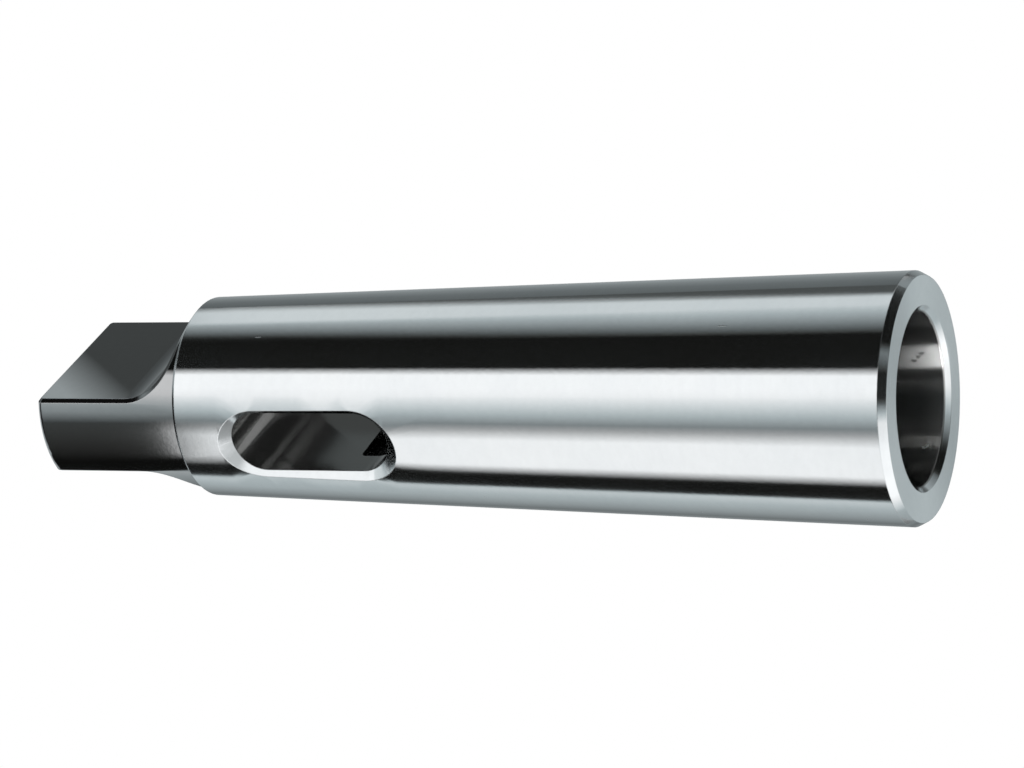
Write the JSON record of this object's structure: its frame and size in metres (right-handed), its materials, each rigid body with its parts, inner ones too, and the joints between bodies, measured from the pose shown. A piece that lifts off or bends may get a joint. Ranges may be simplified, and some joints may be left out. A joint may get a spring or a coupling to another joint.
{
  "type": "morse taper sleeve",
  "caption": "Steel reducing sleeve with a tapered body, a flat drive tang, a tapered socket and a cross slot for the drift.",
  "frame": {"origin": "centre of the large end face, where the socket opens", "axes": "+Z along the turning axis from the large end to the tang tip; the tang flats face +X and -X; the drift slot runs through along Y"},
  "size_m": [0.0454, 0.0454, 0.171],
  "materials": {
    "ground_steel": "ground"
  },
  "bodies": {
    "root": {"taper_sleeve": "ground_steel"}
  },
  "joints": []
}
